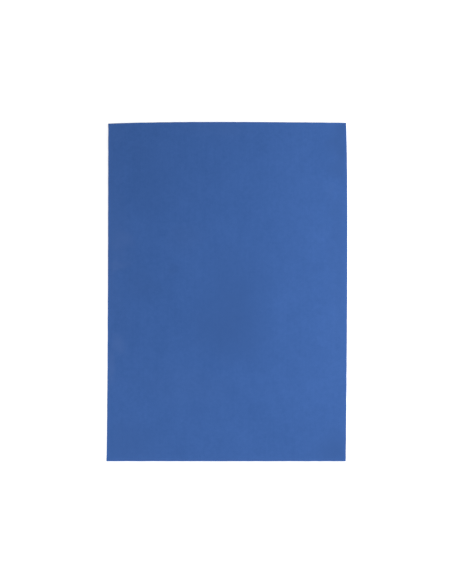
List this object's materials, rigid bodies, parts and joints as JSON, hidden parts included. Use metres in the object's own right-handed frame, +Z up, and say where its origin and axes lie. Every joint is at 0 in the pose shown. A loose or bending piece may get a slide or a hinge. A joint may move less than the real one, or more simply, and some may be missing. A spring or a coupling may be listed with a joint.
{
  "type": "foam sheet",
  "caption": "Flat rectangular sheet of soft closed-cell craft foam with plain cut edges, for cutting, gluing and padding.",
  "frame": {"origin": "under the middle of the sheet's bounding box, on the face it rests on", "axes": "+Z up through the thickness, +Y along the long side towards the bowed short edge, +X along the short side"},
  "size_m": [0.2118, 0.2984, 0.002],
  "materials": {
    "blue_foam": "matte"
  },
  "bodies": {
    "root": {"foam_sheet": "blue_foam"}
  },
  "joints": []
}
